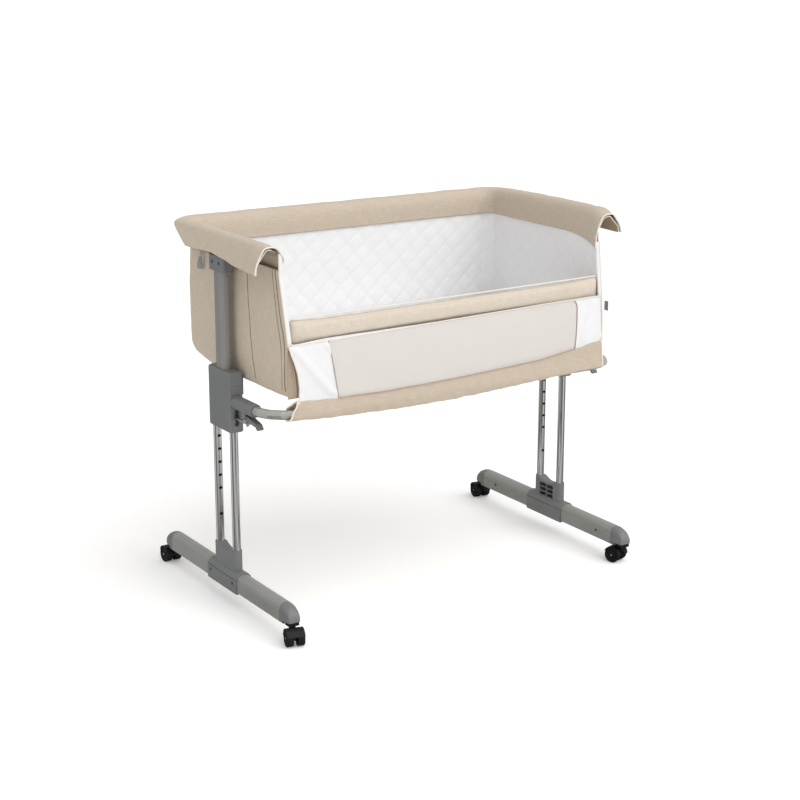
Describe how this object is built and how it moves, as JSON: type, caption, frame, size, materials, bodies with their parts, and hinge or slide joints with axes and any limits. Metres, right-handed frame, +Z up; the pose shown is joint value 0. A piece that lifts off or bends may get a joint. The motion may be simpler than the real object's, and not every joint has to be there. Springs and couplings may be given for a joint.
{
  "type": "bedside crib",
  "caption": "Bedside crib with fabric sides and a let-down mesh front, on a rolling stand whose twin-tube uprights set the height.",
  "frame": {"origin": "on the floor, halfway between the two stands", "axes": "+X along the crib towards the right stand as seen from the open front, +Y towards the back panel, +Z up"},
  "size_m": [0.9456, 0.6492, 0.832],
  "materials": {
    "chrome": "bright",
    "bar_paint": "satin",
    "post_paint": "satin",
    "rail_paint": "satin",
    "grey_plastic": "matt",
    "black_plastic": "matt",
    "wheel": "matt",
    "zinc": "satin",
    "beige_fabric": "matt",
    "white_fabric": "matt",
    "mesh_fabric": "matt",
    "board": "matt"
  },
  "bodies": {
    "stand_left": {"back_tube_left": "chrome", "end_cap_left_back": "grey_plastic", "castor_mount_left_back": "black_plastic", "front_tube_left": "chrome", "end_cap_left_front": "grey_plastic", "castor_mount_left_front": "black_plastic", "foot_bar_left": "bar_paint", "foot_bracket_left": "grey_plastic", "bridge_left": "grey_plastic"},
    "crib": {"housing_left": "grey_plastic", "post_left": "post_paint", "trigger_pin_left": "zinc", "rim_bracket_left": "grey_plastic", "housing_right": "grey_plastic", "post_right": "post_paint", "trigger_pin_right": "zinc", "rim_bracket_right": "grey_plastic", "base_frame": "rail_paint", "rim_tube": "rail_paint", "rim_cover": "beige_fabric", "basket": "beige_fabric", "base_board": "board", "mattress": "white_fabric", "low_wall": "white_fabric", "padded_band": "beige_fabric", "front_flap": "mesh_fabric"},
    "stand_right": {"back_tube_right": "chrome", "end_cap_right_back": "grey_plastic", "castor_mount_right_back": "black_plastic", "front_tube_right": "chrome", "end_cap_right_front": "grey_plastic", "castor_mount_right_front": "black_plastic", "foot_bar_right": "bar_paint", "foot_bracket_right": "grey_plastic", "bridge_right": "grey_plastic"},
    "front_rail": {"front_rail": "rail_paint", "rail_sleeve": "beige_fabric"},
    "castor_left_back": {"castor_fork_left_back": "black_plastic", "castor_axle_left_back": "zinc"},
    "wheel_left_back_a": {"castor_wheel_left_back_a": "wheel"},
    "wheel_left_back_b": {"castor_wheel_left_back_b": "wheel"},
    "castor_left_front": {"castor_fork_left_front": "black_plastic", "castor_axle_left_front": "zinc"},
    "wheel_left_front_a": {"castor_wheel_left_front_a": "wheel"},
    "wheel_left_front_b": {"castor_wheel_left_front_b": "wheel"},
    "trigger_left": {"trigger_left": "grey_plastic"},
    "lock_left": {"lock_plate_left": "zinc"},
    "castor_right_back": {"castor_fork_right_back": "black_plastic", "castor_axle_right_back": "zinc"},
    "wheel_right_back_a": {"castor_wheel_right_back_a": "wheel"},
    "wheel_right_back_b": {"castor_wheel_right_back_b": "wheel"},
    "castor_right_front": {"castor_fork_right_front": "black_plastic", "castor_axle_right_front": "zinc"},
    "wheel_right_front_a": {"castor_wheel_right_front_a": "wheel"},
    "wheel_right_front_b": {"castor_wheel_right_front_b": "wheel"},
    "trigger_right": {"trigger_right": "grey_plastic"},
    "lock_right": {"lock_plate_right": "zinc"},
    "zip_pull": {"zip_pull": "zinc"}
  },
  "joints": [
    {"name": "height", "type": "slide", "parent": "stand_left", "child": "crib", "axis": [0, 0, 1], "range_m": [-0.18, 0]},
    {"name": "right_height", "type": "slide", "parent": "crib", "child": "stand_right", "axis": [0, 0, 1], "range_m": [0, 0.18]},
    {"name": "rail_pull", "type": "slide", "parent": "crib", "child": "front_rail", "axis": [0, -1, 0], "range_m": [0, 0.07]},
    {"name": "swivel_left_back", "type": "hinge", "parent": "stand_left", "child": "castor_left_back", "pos_m": [-0.445, 0.284, 0.05], "axis": [0, 0, 1], "continuous": true},
    {"name": "roll_left_back_a", "type": "hinge", "parent": "castor_left_back", "child": "wheel_left_back_a", "pos_m": [-0.445, 0.302, 0.0185], "axis": [-1, 0, 0], "continuous": true},
    {"name": "roll_left_back_b", "type": "hinge", "parent": "castor_left_back", "child": "wheel_left_back_b", "pos_m": [-0.445, 0.302, 0.0185], "axis": [-1, 0, 0], "continuous": true},
    {"name": "swivel_left_front", "type": "hinge", "parent": "stand_left", "child": "castor_left_front", "pos_m": [-0.445, -0.284, 0.05], "axis": [0, 0, 1], "continuous": true},
    {"name": "roll_left_front_a", "type": "hinge", "parent": "castor_left_front", "child": "wheel_left_front_a", "pos_m": [-0.44966, -0.30139, 0.0185], "axis": [0.9659, -0.2588, 0], "continuous": true},
    {"name": "roll_left_front_b", "type": "hinge", "parent": "castor_left_front", "child": "wheel_left_front_b", "pos_m": [-0.44966, -0.30139, 0.0185], "axis": [0.9659, -0.2588, 0], "continuous": true},
    {"name": "squeeze_left", "type": "hinge", "parent": "crib", "child": "trigger_left", "pos_m": [-0.445, -0.104, 0.45], "axis": [1, 0, 0], "range_deg": [-13, 0], "stiffness_Nm_per_rad": 0.2, "springref_deg": 8.59},
    {"name": "unlock_left", "type": "slide", "parent": "crib", "child": "lock_left", "axis": [0, -1, 0], "range_m": [0, 0.0036]},
    {"name": "swivel_right_back", "type": "hinge", "parent": "stand_right", "child": "castor_right_back", "pos_m": [0.445, 0.284, 0.05], "axis": [0, 0, 1], "continuous": true},
    {"name": "roll_right_back_a", "type": "hinge", "parent": "castor_right_back", "child": "wheel_right_back_a", "pos_m": [0.4475, 0.30183, 0.0185], "axis": [-0.9903, 0.1392, 0], "continuous": true},
    {"name": "roll_right_back_b", "type": "hinge", "parent": "castor_right_back", "child": "wheel_right_back_b", "pos_m": [0.4475, 0.30183, 0.0185], "axis": [-0.9903, 0.1392, 0], "continuous": true},
    {"name": "swivel_right_front", "type": "hinge", "parent": "stand_right", "child": "castor_right_front", "pos_m": [0.445, -0.284, 0.05], "axis": [0, 0, 1], "continuous": true},
    {"name": "roll_right_front_a", "type": "hinge", "parent": "castor_right_front", "child": "wheel_right_front_a", "pos_m": [0.43974, -0.26679, 0.0185], "axis": [-0.9563, -0.2924, 0], "continuous": true},
    {"name": "roll_right_front_b", "type": "hinge", "parent": "castor_right_front", "child": "wheel_right_front_b", "pos_m": [0.43974, -0.26679, 0.0185], "axis": [-0.9563, -0.2924, 0], "continuous": true},
    {"name": "squeeze_right", "type": "hinge", "parent": "crib", "child": "trigger_right", "pos_m": [0.445, -0.104, 0.45], "axis": [1, 0, 0], "range_deg": [-13, 0], "stiffness_Nm_per_rad": 0.2, "springref_deg": 8.59},
    {"name": "unlock_right", "type": "slide", "parent": "crib", "child": "lock_right", "axis": [0, -1, 0], "range_m": [0, 0.0036]},
    {"name": "zip_swing", "type": "hinge", "parent": "crib", "child": "zip_pull", "pos_m": [-0.4242, 0.132, 0.765], "axis": [1, 0, 0], "range_deg": [-70, 70]}
  ],
  "couplings": [
    {"joint": "right_height", "follows": "height", "ratio": -1},
    {"joint": "unlock_left", "follows": "squeeze_left", "m_per_rad": -0.015},
    {"joint": "unlock_right", "follows": "squeeze_right", "m_per_rad": -0.015}
  ]
}
